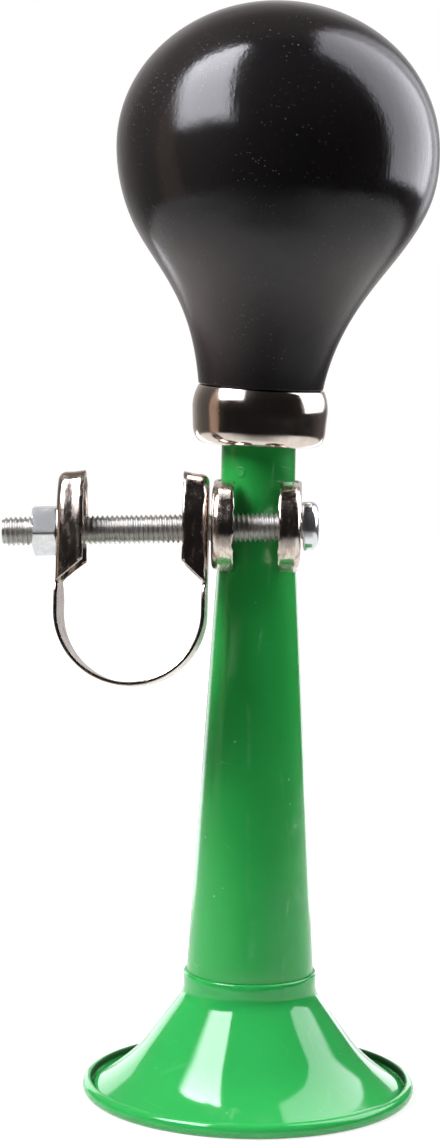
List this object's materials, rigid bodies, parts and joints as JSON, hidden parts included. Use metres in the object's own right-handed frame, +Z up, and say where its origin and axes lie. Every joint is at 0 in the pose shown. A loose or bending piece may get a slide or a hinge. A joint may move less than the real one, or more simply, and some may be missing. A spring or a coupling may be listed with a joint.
{
  "type": "bicycle bulb horn",
  "caption": "Bulb horn with a long plastic cone, a flared bell and a squeeze bulb, with a swivelling screw clamp that holds it on a handlebar.",
  "frame": {"origin": "centre of the bell's rim, on the face that it rests on", "axes": "+Z up the horn's axis to the bulb, +X along the clamp's screw towards its head, +Y away from the picture's camera"},
  "size_m": [0.0709, 0.0568, 0.1847],
  "materials": {
    "bulb_rubber": "satin black moulded rubber with fine dust",
    "ferrule_nickel": "polished nickel plate",
    "cone_plastic": "glossy green moulded plastic with fine scratches",
    "bell_plastic": "glossy green moulded plastic",
    "reed_brass": "plain brass",
    "sleeve_rubber": "matt black rubber",
    "strap_nickel": "bright nickel-plated steel strip with sheared edges",
    "screw_zinc": "bright zinc-plated steel",
    "nut_zinc": "speckled zinc-plated steel"
  },
  "bodies": {
    "horn": {"horn_tube": "cone_plastic", "bell_flare": "bell_plastic", "neck_ferrule": "ferrule_nickel", "reed_shallot": "reed_brass", "reed_wedge": "reed_brass", "reed_collar": "reed_brass", "reed_sleeve": "sleeve_rubber"},
    "bulb": {"bulb": "bulb_rubber"},
    "reed": {"reed_tongue": "reed_brass"},
    "horn_clamp": {"horn_strap": "strap_nickel"},
    "bar_clamp": {"handlebar_strap": "strap_nickel"},
    "screw": {"clamp_screw": "screw_zinc"},
    "nut": {"clamp_nut": "nut_zinc"}
  },
  "joints": [
    {"name": "bulb_press", "type": "slide", "parent": "horn", "child": "bulb", "axis": [0, 0, -1], "range_m": [0, 0.014], "stiffness_N_per_m": 800, "springref_m": -0.001, "deforming": ["bulb"]},
    {"name": "reed_vibrate", "type": "hinge", "parent": "horn", "child": "reed", "pos_m": [0, -0.00155, 0.12365], "axis": [1, 0, 0], "range_deg": [-2, 2.5], "stiffness_Nm_per_rad": 0.001},
    {"name": "clamp_turn", "type": "hinge", "parent": "horn", "child": "horn_clamp", "pos_m": [0, 0, 0.0983], "axis": [0, 0, 1], "continuous": true},
    {"name": "bar_swivel", "type": "hinge", "parent": "horn_clamp", "child": "bar_clamp", "pos_m": [0, -0.0095, 0.0983], "axis": [0.9994, 0, 0.0349], "range_deg": [-150, 125]},
    {"name": "screw_turn", "type": "hinge", "parent": "horn_clamp", "child": "screw", "pos_m": [0, -0.0095, 0.0983], "axis": [0.9994, 0, 0.0349], "range_deg": [0, 2180]},
    {"name": "nut_travel", "type": "slide", "parent": "horn_clamp", "child": "nut", "axis": [-0.9994, 0, -0.0349], "range_m": [0, 0.0048]}
  ],
  "couplings": [
    {"joint": "screw_turn", "follows": "nut_travel", "rad_per_m": 7854}
  ]
}
